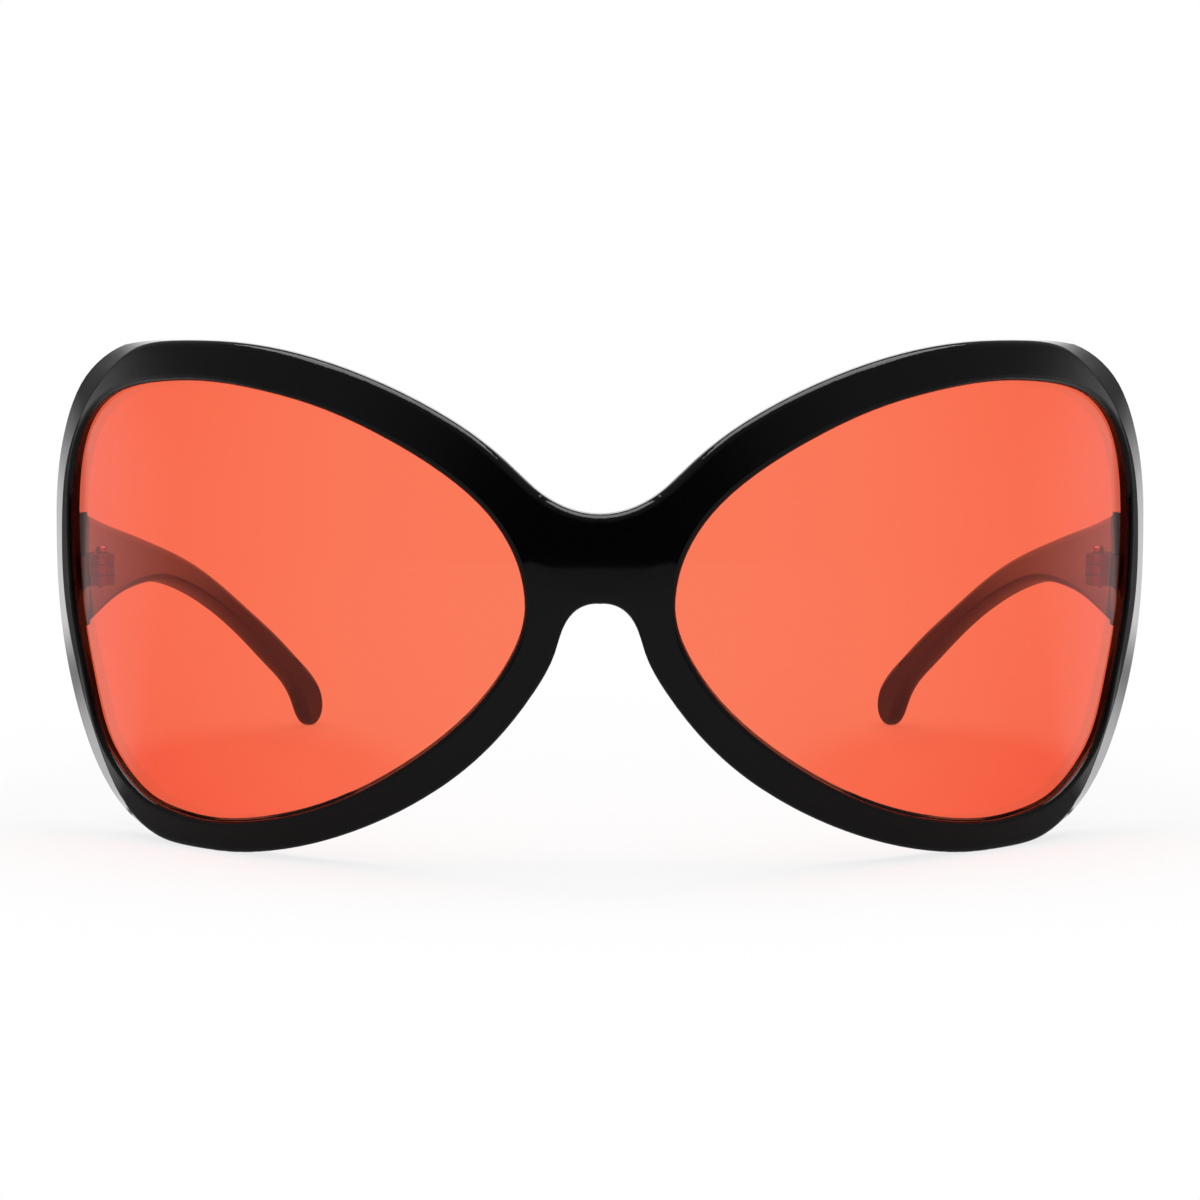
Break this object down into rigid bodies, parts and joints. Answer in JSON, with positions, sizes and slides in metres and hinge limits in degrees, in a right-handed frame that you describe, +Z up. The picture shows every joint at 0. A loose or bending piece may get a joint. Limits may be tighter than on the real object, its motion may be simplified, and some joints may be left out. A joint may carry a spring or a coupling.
{
  "type": "butterfly sunglasses",
  "caption": "Oversized wraparound butterfly sunglasses: a glossy black moulded front with orange-red see-through lenses and folding black temples on metal hinges.",
  "frame": {"origin": "middle of the footprint, on the surface the open glasses stand on", "axes": "+X towards the wearer's left, +Y from the front towards the temple tips, +Z up"},
  "size_m": [0.153, 0.155, 0.0685],
  "materials": {
    "frame_plastic": "polished black injection-moulded plastic",
    "lens_tint": "polished orange-red tinted lens plastic",
    "hinge_metal": "nickel-silver, lightly tumbled",
    "screw_metal": "bright turned steel"
  },
  "bodies": {
    "front": {"front_frame": "frame_plastic", "lens_left": "lens_tint", "lens_right": "lens_tint", "hinge_leaf_front_left": "hinge_metal", "hinge_leaf_front_right": "hinge_metal", "hinge_screw_left": "screw_metal", "hinge_screw_right": "screw_metal"},
    "temple_arm_left": {"temple_left": "frame_plastic", "hinge_leaf_temple_left": "hinge_metal"},
    "temple_arm_right": {"temple_right": "frame_plastic", "hinge_leaf_temple_right": "hinge_metal"}
  },
  "joints": [
    {"name": "fold_left", "type": "hinge", "parent": "front", "child": "temple_arm_left", "pos_m": [0.0696, -0.02704, 0.0354], "axis": [0, 0, 1], "range_deg": [0, 90]},
    {"name": "fold_right", "type": "hinge", "parent": "front", "child": "temple_arm_right", "pos_m": [-0.0696, -0.02704, 0.0354], "axis": [0, 0, -1], "range_deg": [0, 84]}
  ]
}
